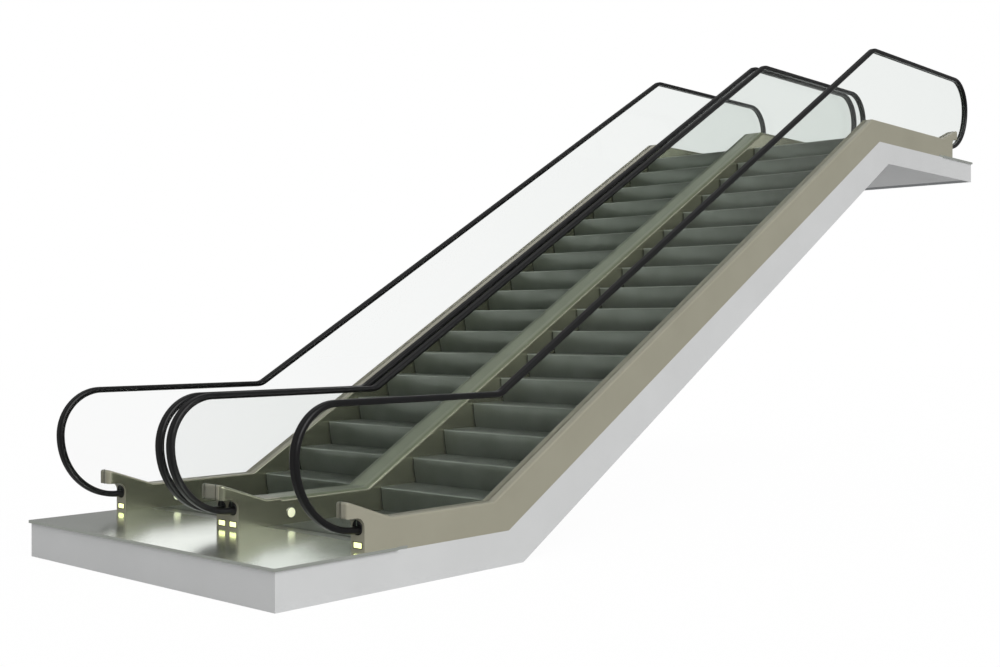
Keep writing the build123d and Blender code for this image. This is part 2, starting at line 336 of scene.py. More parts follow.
@dataclass(frozen=True)
class LitLens(Finish):
    """Opal acrylic lamp lens, moulded and lit from behind."""

    glow: str = "FFFFFF"
    strength: float = 1.0
    clouding: float = 0.15

    def shader(self, tree: bpy.types.NodeTree) -> bpy.types.Node:
        """A plastic skin that glows, a little less towards its clouded parts.

        Args:
            tree: Node tree of the material.

        Returns:
            The shader node.
        """
        mottling = self.mottling(tree)
        level = add_node(
            tree,
            "ShaderNodeMapRange",
            sockets={
                "Value": mottling,
                "To Min": self.strength * (1.0 - self.clouding),
                "To Max": self.strength * (1.0 + self.clouding),
            },
        )
        return add_node(
            tree,
            "ShaderNodeBsdfPrincipled",
            sockets={
                "Base Color": self.colouring(tree, mottling),
                "Roughness": self.roughness,
                "IOR": self.ior,
                "Emission Color": linear(self.glow),
                "Emission Strength": level.outputs["Result"],
            },
        )


# Powder-coated sheet steel: an even satin white. Its orange peel, 1 to 2 mm across, is drawn at 6 mm.
CASING_PAINT = Finish(
    "powder_coated_casing_steel", "CFD0D0", "C9CACA", roughness=0.5, mottle_mm=900.0,
    grain_mm=(6.0, 6.0, 6.0), grain_depth_mm=0.05,
)
# Rolled steel under brushed paint: dull grey, seen only where the casing ends. Brush marks are drawn
# at 8 mm, coarser than they are.
TRUSS_PAINT = Finish(
    "painted_truss_steel", "8C8F91", "84878A", roughness=0.6,
    grain_mm=(8.0, 8.0, 8.0), grain_depth_mm=0.1,
)
# Sprayed beige enamel on pressed steel: smooth, with a soft gloss. Its spray texture is drawn at 5 mm.
PANEL_ENAMEL = Finish(
    "sprayed_beige_enamel", "9C9988", "969382", roughness=0.4, mottle_mm=700.0,
    grain_mm=(5.0, 5.0, 5.0), grain_depth_mm=0.03,
)
# Anodised aluminium extrusion: satin and greenish, with die lines along its length, drawn at 4 mm.
DECK_ANODISED = Finish(
    "anodised_deck_aluminium", "7F8670", "798069", metallic=0.5, roughness=0.36, roughness_spread=0.02,
    mottle_mm=700.0, grain_mm=(4.0, 600.0, 4.0), grain_depth_mm=0.002,
)
# Steel sheet with a low-friction coat, on every side that faces a flight: dark olive and nearly a mirror.
SKIRT_COATED = Finish(
    "coated_skirt_steel", "A2A48F", "9B9D88", metallic=0.78, roughness=0.19, roughness_spread=0.01,
    mottle_mm=900.0, grain_mm=(300.0, 300.0, 6.0), grain_depth_mm=0.001,
)
# Finely brushed stainless plate: mirrors at a low angle. Its brush lines, 0.2 mm apart, are drawn at 3 mm.
PLATE_STAINLESS = Finish(
    "brushed_plate_stainless", "FAFFF6", "F2F8EE", metallic=0.94, roughness=0.155, roughness_spread=0.015,
    mottle_mm=350.0, grain_mm=(300.0, 3.0, 3.0), grain_depth_mm=0.02,
)
# Die-cast aluminium of the steps, darkened by a coat: dull and greenish. Its skin is drawn at 3 mm.
STEP_CASTING = Finish(
    "die_cast_step_aluminium", "959B92", "878D83", metallic=0.6, roughness=0.32, mottle_mm=260.0,
    grain_mm=(3.0, 40.0, 3.0), grain_depth_mm=0.03,
)
# The nosing of each step: the same casting, painted paler as a highlight along its rounded edge.
STEP_NOSING_HIGHLIGHT = Finish(
    "step_nosing_painted_highlight", "B4BAB0", "A6ACA2", metallic=0.6, roughness=0.3, mottle_mm=200.0,
    grain_mm=(3.0, 3.0, 3.0), grain_depth_mm=0.02,
)
# Dark, dull strips at both ends of each riser: painted shade for the shadowed gap beside the skirt.
STEP_END_SHADE = Finish(
    "step_end_painted_shade", "2E302C", "262824", roughness=0.5, mottle_mm=60.0,
    grain_mm=(2.0, 2.0, 2.0), grain_depth_mm=0.02,
)
# Die-cast aluminium of the comb plates, machined and polished by shoes: paler than the steps.
COMB_CASTING = Finish(
    "die_cast_comb_aluminium", "8A8F86", "7C8178", metallic=0.8, roughness=0.3, mottle_mm=150.0,
    grain_mm=(3.0, 30.0, 3.0), grain_depth_mm=0.02,
)
# Extruded and vulcanised rubber: black with a smooth, waxy skin that is drawn out along the rail.
HANDRAIL_RUBBER = Finish(
    "vulcanised_handrail_rubber", "141415", "0F0F10", roughness=0.34, ior=1.42, mottle_mm=300.0,
    grain_mm=(1.5, 60.0, 1.5), grain_depth_mm=0.02,
)
# Moulded rubber of the handrail inlets: black and dull.
INLET_RUBBER = Finish(
    "moulded_inlet_rubber", "1D1D1D", "141414", roughness=0.6, mottle_mm=40.0,
    grain_mm=(2.0, 2.0, 2.0), grain_depth_mm=0.05,
)
# Toughened float glass, 12 mm and polished flat: clear, with a faint green cast when seen aslant.
PANE_GLASS = TintedGlass(
    "toughened_pane_glass", "EFF2F0", "FBFBFB", blend=(0.1, 0.5), roughness=0.0, mottle_mm=1500.0,
    ior=1.12, reflection="505050",
)
# Cut edges of the panes, ground and seamed: dull and dark green.
GLASS_EDGE = Finish(
    "ground_glass_edge", "58635A", "4E5950", roughness=0.5, mottle_mm=60.0,
    grain_mm=(1.0, 1.0, 1.0), grain_depth_mm=0.02,
)
# Opal acrylic, moulded: an even glow that tints what it lights a yellow green.
NEWEL_LENS = LitLens(
    "opal_newel_lens", "8A8A80", "82827A", roughness=0.3, mottle_mm=30.0, glow="F8FFAE", strength=1.75,
)
# The same acrylic in the round lamps, thicker and so dimmer.
SKIRT_LENS = LitLens(
    "opal_skirt_lens", "D8D8D0", "D0D0C8", roughness=0.3, mottle_mm=30.0, glow="F2FAB8", strength=0.5,
)
# Turned aluminium rings round the skirt lamps: pale and bright.
LAMP_RING = Finish(
    "turned_lamp_aluminium", "D5D6D2", "C6C7C3", metallic=1.0, roughness=0.25, mottle_mm=20.0,
    grain_mm=(1.0, 1.0, 1.0), grain_depth_mm=0.01,
)
# Pressed steel frames round the newel lamps, painted dark: a thin shadow line round each lens.
LAMP_FRAME = Finish(
    "pressed_lamp_steel", "3A3B37", "313230", metallic=0.3, roughness=0.35, mottle_mm=20.0,
    grain_mm=(1.5, 1.5, 1.5), grain_depth_mm=0.01,
)


def finished_object(
    name: str, mesh: bpy.types.Mesh, finishes: Sequence[Finish], picks: Sequence[int]
) -> bpy.types.Object:
    """Put a mesh with its finishes in the scene.

    Args:
        name: Name of the piece.
        mesh: The mesh, with no materials yet.
        finishes: The finishes.
        picks: Number of the finish of each face.

    Returns:
        The new object.
    """
    for finish in finishes:
        mesh.materials.append(finish.material())
    mesh.polygons.foreach_set("material_index", picks)
    made = bpy.data.objects.new(name, mesh)
    bpy.context.scene.collection.objects.link(made)
    return made


class MeshDraft:
    """Vertices and faces of one piece while it is being built, in millimetres."""

    def __init__(self, *finishes: Finish) -> None:
        """Start with no faces.

        Args:
            finishes: Finishes of the piece, the first of which is the usual one.
        """
        self.finishes = finishes
        self.vertices: list[Point] = []
        self.faces: list[Face] = []
        self.picks: list[int] = []

    def add(
        self, vertices: Sequence[Point], faces: Sequence[Face], finishes: Sequence[Finish] | None = None
    ) -> None:
        """Add a patch whose faces count from its own first vertex.

        Args:
            vertices: Points in millimetres.
            faces: Corner numbers within the patch.
            finishes: Finish of each face, or None for the usual one everywhere.
        """
        start = len(self.vertices)
        self.vertices += vertices
        self.faces += [tuple(start + corner for corner in face) for face in faces]
        self.picks += [self.finishes.index(finish) for finish in finishes] if finishes else [0] * len(faces)

    def sheet(
        self,
        rows: Sequence[Sequence[Point]],
        closed: bool = False,
        finishes: Sequence[Finish] | None = None,
    ) -> None:
        """Join rows of points of equal length into one skin.

        It faces along the cross product of the way along a row and the way to the next row.

        Args:
            rows: Rows of points, each as long as the others.
            closed: Whether the last point of each row joins its first.
            finishes: Finish of each face, row by row, or None for the usual one everywhere.
        """
        width = len(rows[0])
        faces: list[Face] = []
        for row in range(len(rows) - 1):
            near, far = row * width, (row + 1) * width
            for point in range(width if closed else width - 1):
                following = (point + 1) % width
                faces.append((near + point, near + following, far + following, far + point))
        self.add([point for row in rows for point in row], faces, finishes)

    def dome(self, rings: Sequence[Sequence[Point]]) -> None:
        """Join closed rings of points and close the last one."""
        self.sheet(rings, closed=True)
        self.add(rings[-1], [tuple(range(len(rings[-1])))])

    def prism(self, outline: Sequence[tuple[float, float]], x0: float, x1: float) -> None:
        """Closed block from an outline of (y, z) points between two X planes, facing outwards.

        Args:
            outline: Points round the side of the block, in either direction.
            x0: Lower plane.
            x1: Higher plane.
        """
        following = [*outline[1:], outline[0]]
        doubled_area = sum(y0 * z1 - y1 * z0 for (y0, z0), (y1, z1) in zip(outline, following))
        if doubled_area < 0.0:
            outline = outline[::-1]
        count = len(outline)
        vertices = [(x, y, z) for x in (x0, x1) for y, z in outline]
        faces: list[Face] = [(i, (i + 1) % count, count + (i + 1) % count, count + i) for i in range(count)]
        faces += [tuple(range(count))[::-1], tuple(range(count, 2 * count))]
        self.add(vertices, faces)

    def piece(self, name: str) -> bpy.types.Object:
        """Make the Blender object.

        Args:
            name: Name of the piece.

        Returns:
            The new object, in the scene.
        """
        mesh = bpy.data.meshes.new(name)
        mesh.from_pydata([tuple(v * MM for v in vertex) for vertex in self.vertices], [], self.faces)
        made = finished_object(name, mesh, self.finishes, self.picks)
        mesh.validate()
        return made


def settle(
    piece: bpy.types.Object, slot: str, *stands_for: str, smooth_degrees: float | None = 35.0
) -> bpy.types.Object:
    """Fix a finished piece to the escalator and report it.

    Args:
        piece: The new object.
        slot: Name of its finish slot, which is only logged.
        stands_for: CAD nodes that the piece replaces.
        smooth_degrees: Edges flatter than this are shaded smooth, or None to keep the mesh's own shading.

    Returns:
        The same object.
    """
    mesh = piece.data
    if smooth_degrees is not None:
        mesh.shade_smooth()
        mesh.set_sharp_from_angle(angle=math.radians(smooth_degrees))
    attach(piece, "root")
    if stands_for:
        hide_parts(*stands_for)
    LOG.info("%s: %d faces, finish slot %s", piece.name, len(mesh.polygons), slot)
    return piece


def reface(
    node: bpy.types.Object,
    piece_name: str,
    slot: str,
    finishes: Sequence[Finish],
    pick: Callable[[Vector, Vector], Finish],
) -> bpy.types.Object:
    """Make a piece with the shape of a CAD node, whose faces have different finishes.

    Args:
        node: The CAD node that the piece replaces.
        piece_name: Name of the piece.
        slot: Name of its finish slot, which is only logged.
        finishes: The finishes.
        pick: Gives a face's finish from its middle in millimetres and its normal.

    Returns:
        The new object, in the scene.
    """
    mesh = node.data.copy()
    mesh.name = piece_name
    mesh.transform(node.matrix_world)
    mesh.materials.clear()
    picks = [finishes.index(pick(face.center / MM, face.normal)) for face in mesh.polygons]
    made = finished_object(piece_name, mesh, finishes, picks)
    return settle(made, slot, node.name, smooth_degrees=None)


def dress(nodes: dict[str, bpy.types.Object], finish: Finish, *names: str) -> None:
    """Give CAD nodes that stay their finish.

    Args:
        nodes: CAD nodes by name.
        finish: The finish.
        names: Names of the nodes.
    """
    for name in names:
        mesh = nodes[name].data
        if not mesh.materials:
            mesh.materials.append(finish.material())
        for number in range(len(mesh.materials)):
            mesh.materials[number] = finish.material()
        LOG.info("%s: %s", name, finish.name)


@dataclass
class Truss:
    """Closed machine housing with its painted casing."""

    nodes: dict[str, bpy.types.Object]
    stretches: tuple[str, ...] = ("truss_lower", "truss_incline", "truss_upper")
    claddings: tuple[str, ...] = ("cladding_left", "cladding_right", "cladding_front", "cladding_rear")
    soffits: tuple[str, ...] = ("soffit_incline", "soffit_upper")

    def dress(self) -> None:
        """Paint the housing and its casing."""
        dress(self.nodes, TRUSS_PAINT, *self.stretches)
        dress(self.nodes, CASING_PAINT, *self.claddings, *self.soffits)


@dataclass
class LandingPlates:
    """Floor plates of the two landings."""

    nodes: dict[str, bpy.types.Object]

    def dress(self) -> None:
        """Brush the floor plates."""
        dress(self.nodes, PLATE_STAINLESS, "floor_plate_lower", "floor_plate_upper")


@dataclass
class Balustrades:
    """Skirts, deck caps, outer panels, newel bases, glass and handrails."""

    nodes: dict[str, bpy.types.Object]
    sides: tuple[str, ...] = ("left_outer", "left_inner", "right_inner", "right_outer")
    centre_reach: float = 160.0
    outside_x: float = 1600.0
    flat_normal_z: float = 0.5
    side_normal_x: float = 0.9
    centre_side_normal_x: float = 0.35

    def dress(self) -> None:
        """Give each carried-over node its finish."""
        dress(self.nodes, SKIRT_COATED, *[f"skirt_{side}" for side in self.sides])
        dress(self.nodes, PANEL_ENAMEL, "base_panel_left", "base_panel_right")
        dress(self.nodes, HANDRAIL_RUBBER, *[f"handrail_{side}" for side in self.sides])

    def deck_finish(self, middle: Vector, normal: Vector) -> Finish:
        """Finish of a deck face.

        The centre deck is anodised on top and coated beside the flights. An outer deck is coated
        beside its flight and enamelled elsewhere.

        Args:
            middle: Middle of the face in millimetres.
            normal: Its normal.

        Returns:
            The finish.
        """
        if abs(middle.x) <= self.centre_reach:
            return DECK_ANODISED if normal.z > self.flat_normal_z else SKIRT_COATED
        faces_flight = normal.x * middle.x < 0.0 and normal.z < self.flat_normal_z
        return SKIRT_COATED if faces_flight else PANEL_ENAMEL

    def newel_finish(self, middle: Vector, normal: Vector) -> Finish:
        """Finish of a newel face: coated where it faces a flight, enamelled elsewhere."""
        least = self.centre_side_normal_x if abs(middle.x) < self.centre_reach else self.side_normal_x
        return SKIRT_COATED if abs(normal.x) > least and abs(middle.x) < self.outside_x else PANEL_ENAMEL

    def pane_finish(self, _middle: Vector, normal: Vector) -> Finish:
        """Finish of a pane's face: clear on its two sides, ground on its edges."""
        return PANE_GLASS if abs(normal.x) > self.side_normal_x else GLASS_EDGE

    def build(self) -> None:
        """Cover the decks, newel bases and panes with the finish of each side."""
        pane, newel = [PANE_GLASS, GLASS_EDGE], [PANEL_ENAMEL, SKIRT_COATED]
        deck = [DECK_ANODISED, PANEL_ENAMEL, SKIRT_COATED]
        for side in self.sides:
            reface(self.nodes[f"glass_{side}"], f"pane_{side}", "glass", pane, self.pane_finish)
        for side in ("left", "centre", "right"):
            reface(self.nodes[f"deck_{side}"], f"deck_cap_{side}", "deck", deck, self.deck_finish)
            for landing in Landing:
                place = f"{landing.value}_{side}"
                base = self.nodes[f"newel_base_{place}"]
                reface(base, f"newel_cover_{place}", "newel", newel, self.newel_finish)


@dataclass
class StepBand:
    """The steps of one flight, with grooved treads and cleated risers."""

    side: Side
    inner_x: float = 151.0
    outer_x: float = 1490.0
    band_start: float = -40.0
    first_nosing: float = 1066.0
    first_nosing_z: float = 520.0
    first_riser: float = 213.0
    going: float = 400.0
    incline_degrees: float = 30.0
    risers: int = 16
    upper_flat_steps: int = 3
    gap: float = 6.0
    riser_radius: float = 780.0
    riser_stations: tuple[float, ...] = (60.0, 120.0, 180.0)
    rib_pitch: float = 9.1
    rib_width: float = 3.6
    rib_flank: float = 0.4
    tread_groove: float = 8.0
    riser_groove: float = 1.2
    nosing_radius: float = 10.0
    # Turns round the nosing in degrees, each with its share of the tread's groove depth.
    nosing_turns: tuple[tuple[float, float], ...] = ((0.0, 1.0), (30.0, 0.6), (60.0, 0.3))
    body_inset: float = 0.6
    slope_depth: float = 250.0
    flat_depth: float = 60.0
    # Width of the plain band at each end; on the risers it carries the painted shade of the gap.
    end_strip: float = 9.0

    @property
    def rise(self) -> float:
        """Height from one nosing to the next."""
        return self.going * math.tan(math.radians(self.incline_degrees))

    def ribs(self) -> list[tuple[float, bool]]:
        """Positions across the flight where a rib starts or ends.

        Returns:
            X places from side to side, each with True on a rib and False in a groove.
        """
        low, high = self.side.span(self.inner_x, self.outer_x)
        first = low + self.end_strip
        run = high - self.end_strip - first - self.rib_width
        count = int(run / self.rib_pitch)
        pitch = run / count
        places: list[tuple[float, bool]] = [(low, True)]
        for number in range(count + 1):
            left = first + number * pitch
            right = left + self.rib_width
            places += [(left, True), (right, True)]
            if number < count:
                places += [(right + self.rib_flank, False), (left + pitch - self.rib_flank, False)]
        return places + [(high, True)]

    def setback(self, depth: float) -> float:
        """How far the convex riser has curved back at a depth below its nosing."""
        return self.riser_radius - math.sqrt(self.riser_radius**2 - depth**2)

    def nosing_path(self, nosing: float, top: float) -> list[Station]:
        """Stations round a nosing.

        Args:
            nosing: Y of the nosing.
            top: Z of the tread.

        Returns:
            The stations, from the tread down.
        """
        stations = []
        for degrees, groove_share in self.nosing_turns:
            across, up = math.sin(math.radians(degrees)), math.cos(math.radians(degrees))
            y = nosing + self.nosing_radius * (1.0 - across)
            z = top - self.nosing_radius * (1.0 - up)
            stations.append((y, z, -across, up, self.tread_groove * groove_share))
        return stations

    def riser_path(self, nosing: float, top: float) -> list[Station]:
        """Stations down a riser.

        Args:
            nosing: Y of the nosing.
            top: Z of the tread.

        Returns:
            The stations, from under the nosing down.
        """
        stations = []
        for depth in (self.nosing_radius, *self.riser_stations, self.slope_depth):
            lean = math.asin(depth / self.riser_radius)
            y = nosing + self.setback(depth)
            stations.append((y, top - depth, -math.cos(lean), -math.sin(lean), self.riser_groove))
        return stations

    def add_skin(self, draft: MeshDraft, stations: Sequence[Station]) -> None:
        """Add the grooved skin of one step.

        Args:
            draft: Mesh that takes the skin.
            stations: Stations from its rear edge to its front edge or down its riser.
        """
        places = self.ribs()[::-1]
        rows = []
        for y, z, normal_y, normal_z, groove in stations:
            sunk = [(x, 0.0 if on_rib else groove) for x, on_rib in places]
            rows.append([(x, y - depth * normal_y, z - depth * normal_z) for x, depth in sunk])
        bands = len(places) - 1
        riser_row = 1 + len(self.nosing_turns)
        finishes: list[Finish] = []
        for row in range(len(rows) - 1):
            if row >= riser_row:
                # Both end bands of a riser are dark: painted shade for the gap beside the skirt.
                finishes += [STEP_END_SHADE, *[STEP_CASTING] * (bands - 2), STEP_END_SHADE]
            else:
                # Rows round the nosing are paler: a painted highlight.
                finishes += [STEP_NOSING_HIGHLIGHT if row > 0 else STEP_CASTING] * bands
        draft.sheet(rows, finishes=finishes)

    def add_flat_step(self, draft: MeshDraft, front: float, rear: float, top: float) -> None:
        """Add a step that lies level between its neighbours: its skin and the casting under it.

        Args:
            draft: Mesh that takes the step.
            front: Y of its front edge.
            rear: Y of its rear edge.
            top: Z of the tread.
        """
        self.add_skin(draft, [(y, top, 0.0, 1.0, self.tread_groove) for y in (rear, front)])
        under, foot = top - self.tread_groove - self.body_inset, top - self.flat_depth
        outline = [(rear, under), (rear, foot), (front, foot), (front, under)]
        draft.prism(outline, *self.side.span(self.inner_x, self.outer_x))

    def add_rising_step(self, draft: MeshDraft, nosing: float, rear: float, top: float) -> None:
        """Add a step whose riser shows: its skin and the casting under it.

        Args:
            draft: Mesh that takes the step.
            nosing: Y of its nosing.
            rear: Y of its rear edge.
            top: Z of the tread.
        """
        riser = self.riser_path(nosing, top)
        rear_edge = (rear, top, 0.0, 1.0, self.tread_groove)
        self.add_skin(draft, [rear_edge, *self.nosing_path(nosing, top), *riser])
        under, skin = top - self.tread_groove - self.body_inset, self.riser_groove + self.body_inset
        outline = [(rear, under), (rear, top - self.slope_depth)]
        outline += [(station[0] + skin, station[1]) for station in reversed(riser)]
        outline.append((nosing + self.nosing_radius, under))
        draft.prism(outline, *self.side.span(self.inner_x, self.outer_x))

    def build(self) -> None:
        """Build the whole band of the flight."""
        draft = MeshDraft(STEP_CASTING, STEP_NOSING_HIGHLIGHT, STEP_END_SHADE)
        lower_floor = self.first_nosing_z - self.first_riser
        upper_floor = self.first_nosing_z + self.risers * self.rise
        foot = self.first_nosing + self.setback(self.first_riser)
        edges = [self.band_start, self.first_nosing - 2 * self.going, self.first_nosing - self.going, foot]
        for start, end in zip(edges, edges[1:]):
            self.add_flat_step(draft, start, end - self.gap, lower_floor)
        for number in range(1, self.upper_flat_steps):
            start = self.first_nosing + (self.risers + number) * self.going
            self.add_flat_step(draft, start, start + self.going - self.gap, upper_floor)
        for number in range(self.risers + 1):
            nosing = self.first_nosing + number * self.going
            overlap = self.setback(self.rise) if number < self.risers else 0.0
            rear = nosing + self.going + overlap - self.gap
            self.add_rising_step(draft, nosing, rear, self.first_nosing_z + number * self.rise)
        name = self.side.name.lower()
        settle(draft.piece(f"step_castings_{name}"), "step", f"steps_{name}", smooth_degrees=25.0)


@dataclass
class CombPlates:
    """Comb plates of both flights at one landing, with teeth in the tread grooves."""

    landing: Landing
    inner_x: float = 148.0
    outer_x: float = 1493.0
    end_margin: float = 5.0
    edge_slope: float = 60.0
    slope_drop: float = 5.0
    ridge_drop: float = 1.5
    ridge_root: float = 0.5
    tooth_reach: float = 14.0
    tooth_depth: float = 6.0
    tooth_taper: float = 1.0
    tooth_pitch: float = 9.1
    tooth_width: float = 3.0

    def tooth_places(self, x0: float, x1: float) -> list[float]:
        """Low X of every tooth of one plate.

        Args:
            x0: Low X of the plate.
            x1: High X of the plate.

        Returns:
            The places, from low to high.
        """
        run = x1 - x0 - 2 * self.end_margin
        count = int(run / self.tooth_pitch)
        first = x0 + self.end_margin - self.tooth_width / 2
        return [first + number * run / count for number in range(count + 1)]

    def build(self) -> None:
        """Build both plates, each with ridges that run into tapered teeth."""
        name = f"comb_plates_{self.landing.value}"
        low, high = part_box(name)
        top, under = high.z / MM, low.z / MM
        back, tip = self.landing.ends(name)
        slope_start = tip - self.landing.inward * self.edge_slope
        reach = tip + self.landing.inward * self.tooth_reach
        plate = [(back, under), (back, top), (slope_start, top), (tip, top - self.slope_drop), (tip, under)]
        ridge = [
            (slope_start, top - self.ridge_root),
            (slope_start, top),
            (tip, top - self.ridge_drop),
            (tip, top - self.slope_drop - self.ridge_root),
        ]
        tooth = [
            (tip, top - self.ridge_drop),
            (reach, top - self.tooth_depth + self.tooth_taper),
            (reach, top - self.tooth_depth),
            (tip, top - self.tooth_depth - self.tooth_taper),
        ]
        draft = MeshDraft(COMB_CASTING)
        for side in Side:
            x0, x1 = side.span(self.inner_x, self.outer_x)
            draft.prism(plate, x0, x1)
            for outline in (ridge, tooth):
                for left in self.tooth_places(x0, x1):
                    draft.prism(outline, left, left + self.tooth_width)
        settle(draft.piece(f"comb_castings_{self.landing.value}"), "comb", name)


@dataclass(frozen=True)
class OvalFitting:
    """Rounded rectangle on a newel's front plate.

    Each ring of its profile is an inset of its width and height, a cut of its corner radius, and a
    height in front of the plate.
    """

    width: float
    height: float
    corner: float
    profile: tuple[Point, ...]
    points_per_corner: int = 8

    def ring(self, inset: float, corner_cut: float) -> list[tuple[float, float]]:
        """Points round one ring, centred on the origin.

        Args:
            inset: How much narrower and lower it is than the fitting.
            corner_cut: How much smaller its corner radius is.

        Returns:
            The points as (across, up), going round once from across to up.
        """
        radius = self.corner - corner_cut
        reach_across = (self.width - inset) / 2 - radius
        reach_up = (self.height - inset) / 2 - radius
        points = []
        for quarter, (across, up) in enumerate(((1, 1), (-1, 1), (-1, -1), (1, -1))):
            for number in range(self.points_per_corner + 1):
                angle = math.radians(90.0 * quarter + 90.0 * number / self.points_per_corner)
                x = across * reach_across + radius * math.cos(angle)
                z = up * reach_up + radius * math.sin(angle)
                points.append((x, z))
        return points


@dataclass
class LampsAndInlets:
    """Lamps and handrail inlets at the newel bases of one landing."""

    landing: Landing
    glass_x: tuple[float, ...] = (-1567.5, -73.5, 73.5, 1567.5)
    front_plate_setback: float = 431.0
    inlet_lip: OvalFitting = OvalFitting(
        100.0, 115.0, 49.0,
        (
            (0.0, 0.0, -30.0), (0.0, 0.0, 6.0), (2.0, 1.0, 9.5),
            (6.0, 3.0, 11.5), (9.0, 4.5, 11.5), (12.0, 6.0, 9.0),
        ),
    )
    mouth_flare: OvalFitting = OvalFitting(94.0, 66.0, 29.0, ((0.0, 0.0, 4.0),))
    rail_mouth: OvalFitting = OvalFitting(86.0, 56.0, 25.0, ((0.0, 0.0, 1.0), (0.0, 0.0, -30.0)))
    lip_above_floor: float = 174.0
    mouth_above_floor: float = 156.0
    lamp_frame: OvalFitting = OvalFitting(
        97.0, 50.0, 6.0,
        (
            (0.0, 0.0, -17.0), (0.0, 0.0, 2.0), (2.0, 1.0, 3.0),
            (9.0, 2.0, 3.0), (10.0, 2.5, 2.0), (10.0, 2.5, -17.0),
        ),
    )
    lamp_lens: OvalFitting = OvalFitting(
        97.0, 50.0, 6.0, ((10.6, 2.5, -16.0), (10.6, 2.5, 0.0), (16.0, 3.0, 1.4), (34.0, 3.5, 2.0))
    )
    lamp_above_floor: float = 44.0
    # X of each skirt's face, with the direction from it to its flight.
    skirt_faces: tuple[tuple[float, float], ...] = (
        (-1494.0, 1.0), (-147.0, -1.0), (147.0, 1.0), (1494.0, -1.0),
    )
    # Rings of the round lamps: a radius and a height in front of the skirt for each.
    disc_ring: tuple[tuple[float, float], ...] = (
        (45.0, 0.0), (45.0, 7.0), (44.0, 9.2), (42.0, 10.0), (40.0, 9.5), (39.0, 6.0),
    )
    disc_lens: tuple[tuple[float, float], ...] = ((38.8, 1.0), (38.8, 5.5), (27.0, 7.8), (11.25, 9.0))
    disc_points: int = 48
    disc_above_floor: float = 92.0
    disc_past_newel: float = 99.0

    def newel_end(self) -> float:
        """Y of the ends of the newel bases towards the steps."""
        return self.landing.ends(f"newel_base_{self.landing.value}_right")[1]

    def floor(self) -> float:
        """Z of the floor plate, on which the newel bases stand."""
        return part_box(f"newel_base_{self.landing.value}_right")[0].z / MM

    def rings(self, x: float, middle: float, fitting: OvalFitting) -> list[list[Point]]:
        """Rings of a fitting on a newel's front plate.

        Args:
            x: Middle of the fitting.
            middle: Z of its middle.
            fitting: Its sizes.

        Returns:
            Rows of points that go round so that the fitting faces outwards.
        """
        inward = self.landing.inward
        plate = self.newel_end() - inward * self.front_plate_setback
        rows = []
        for inset, corner_cut, proud in fitting.profile:
            ring = fitting.ring(inset, corner_cut)
            row = [(x + across, plate - inward * proud, middle + up) for across, up in ring]
            rows.append(row if self.landing is Landing.LOWER else row[::-1])
        return rows

    def disc(self, face_x: float, toward: float, profile: Sequence[tuple[float, float]]) -> list[list[Point]]:
        """Rings of a round lamp on a skirt.

        Args:
            face_x: X of the skirt's face.
            toward: Direction along X from the skirt to its flight.
            profile: Radius and height in front of the skirt of each ring.

        Returns:
            Rows of points that go round so that the lamp faces outwards.
        """
        y0 = self.newel_end() + self.landing.inward * self.disc_past_newel
        z0 = self.floor() + self.disc_above_floor
        turns = [toward * 2.0 * math.pi * number / self.disc_points for number in range(self.disc_points)]
        rows = []
        for radius, proud in profile:
            x = face_x + toward * proud
            rows.append([(x, y0 + radius * math.cos(turn), z0 + radius * math.sin(turn)) for turn in turns])
        return rows

    def build_inlets(self) -> None:
        """Rubber boots with a rolled lip and a flared mouth round each handrail."""
        draft = MeshDraft(INLET_RUBBER)
        lip_middle = self.floor() + self.lip_above_floor
        mouth_middle = self.floor() + self.mouth_above_floor
        for x in self.glass_x:
            lip = self.rings(x, lip_middle, self.inlet_lip)
            flare = self.rings(x, mouth_middle, self.mouth_flare)
            mouth = self.rings(x, mouth_middle, self.rail_mouth)
            draft.sheet(lip + flare + mouth, closed=True)
        piece = draft.piece(f"inlet_boots_{self.landing.value}")
        settle(piece, "inlet", f"handrail_inlets_{self.landing.value}", smooth_degrees=50.0)

    def build_newel_lamps(self) -> None:
        """Lit lenses in slim frames."""
        frames, lenses = MeshDraft(LAMP_FRAME), MeshDraft(NEWEL_LENS)
        middle = self.floor() + self.lamp_above_floor
        for x in self.glass_x:
            frames.sheet(self.rings(x, middle, self.lamp_frame), closed=True)
            lenses.dome(self.rings(x, middle, self.lamp_lens))
        settle(frames.piece(f"newel_lamp_frames_{self.landing.value}"), "lamp")
        piece = lenses.piece(f"newel_lamp_lenses_{self.landing.value}")
        settle(piece, "lamp", f"newel_lamps_{self.landing.value}")

    def build_skirt_lamps(self) -> None:
        """Round lamps on the skirts: a turned ring and a domed lens."""
        rings, lenses = MeshDraft(LAMP_RING), MeshDraft(SKIRT_LENS)
        for face_x, toward in self.skirt_faces:
            rings.sheet(self.disc(face_x, toward, self.disc_ring), closed=True)
            lenses.dome(self.disc(face_x, toward, self.disc_lens))
        settle(rings.piece(f"skirt_lamp_rings_{self.landing.value}"), "lamp")
        piece = lenses.piece(f"skirt_lamp_lenses_{self.landing.value}")
        settle(piece, "lamp", f"skirt_lamps_{self.landing.value}")

    def build(self) -> None:
        """Build the fittings of this landing."""
        self.build_inlets()
        self.build_newel_lamps()
        self.build_skirt_lamps()


